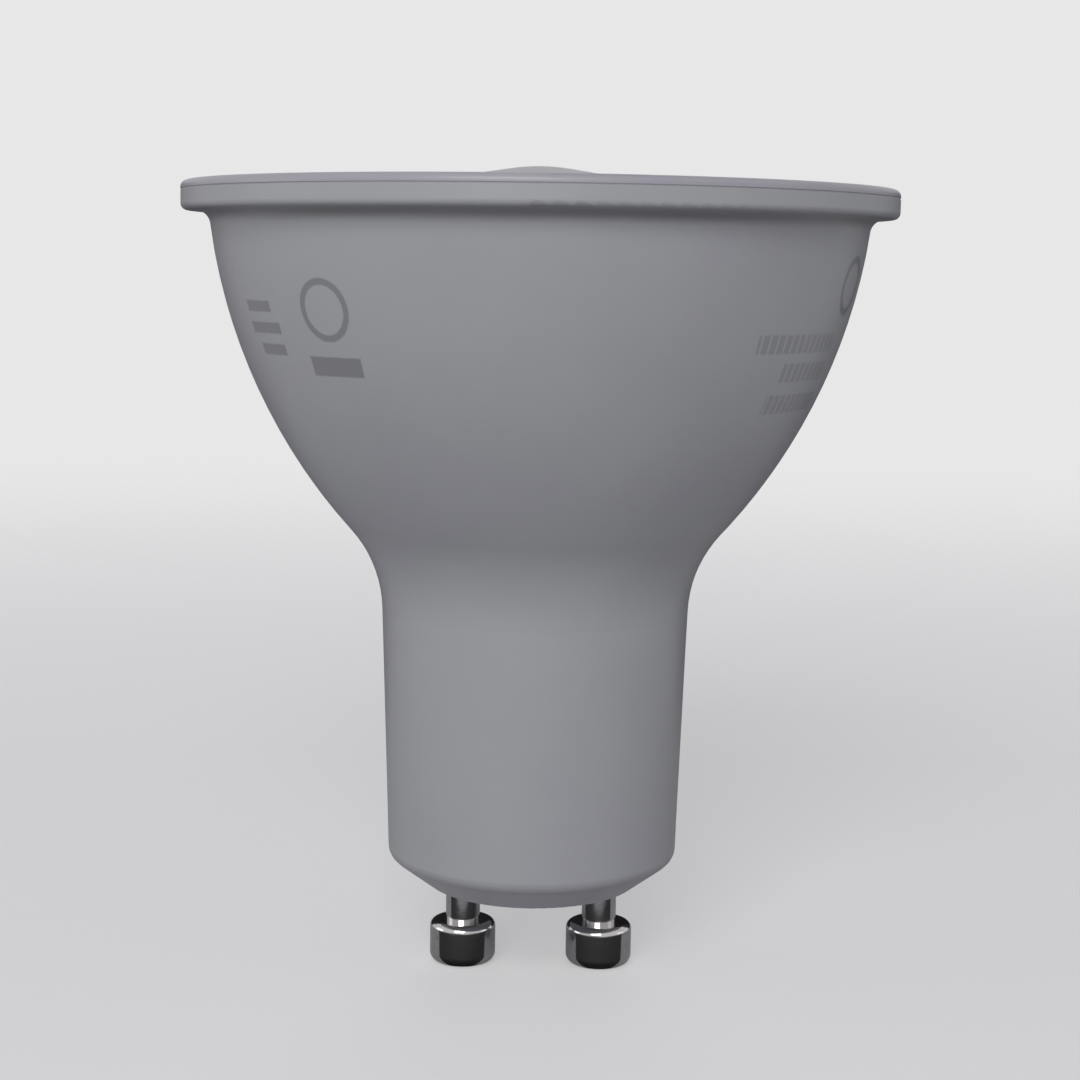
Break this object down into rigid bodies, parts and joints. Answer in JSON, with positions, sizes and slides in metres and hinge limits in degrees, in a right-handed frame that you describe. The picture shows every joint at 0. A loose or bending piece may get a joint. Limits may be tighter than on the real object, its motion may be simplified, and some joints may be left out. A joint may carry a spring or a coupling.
{
  "type": "gu10 spotlight bulb",
  "caption": "LED reflector spotlight lamp with a flanged rim, milky domed cover and a twist-lock base on bayonet pins.",
  "frame": {"origin": "centre of the base's end face, where the pins leave", "axes": "+Z along the lamp's axis from the pins to the cover, the pins spaced along X, +Y to the back"},
  "size_m": [0.05, 0.05, 0.0577],
  "materials": {
    "housing_plastic": "satin moulded white",
    "milky_cover": "milky white, satin",
    "nickel_plate": "bright nickel",
    "aluminium_sheet": "drawn, satin",
    "pad_silicone": "soft grey",
    "led_board_coat": "white coating",
    "led_package": "yellow phosphor in a white package",
    "zinc_steel": "zinc",
    "bush_plastic": "matt",
    "tinned_brass": "tinned",
    "board_laminate": "green laminate",
    "resistor_coat": "matt coating",
    "film_box": "moulded box",
    "ferrite": "matt",
    "enamelled_wire": "enamelled",
    "can_sleeve": "shrunk sleeve",
    "black_epoxy": "moulded",
    "ceramic_tan": "fired"
  },
  "bodies": {
    "root": {"housing": "housing_plastic", "cover_lens": "milky_cover", "pin_left": "nickel_plate", "pin_right": "nickel_plate", "heat_sink": "aluminium_sheet", "thermal_pad": "pad_silicone", "led_board": "led_board_coat", "led_1": "led_package", "led_2": "led_package", "led_3": "led_package", "led_4": "led_package", "led_5": "led_package", "led_6": "led_package", "led_7": "led_package", "led_8": "led_package", "board_screws": "zinc_steel", "insulating_bush": "bush_plastic", "output_pin_right": "tinned_brass", "output_pin_left": "tinned_brass", "driver_board": "board_laminate", "pin_lead": "tinned_brass", "fusible_resistor": "resistor_coat", "film_capacitor": "film_box", "choke_core": "ferrite", "choke_winding": "enamelled_wire", "electrolytic_capacitor": "can_sleeve", "driver_chip": "black_epoxy", "bridge_rectifier": "black_epoxy", "catch_diode": "black_epoxy", "sense_resistor": "black_epoxy", "ceramic_capacitor": "ceramic_tan"}
  },
  "joints": []
}
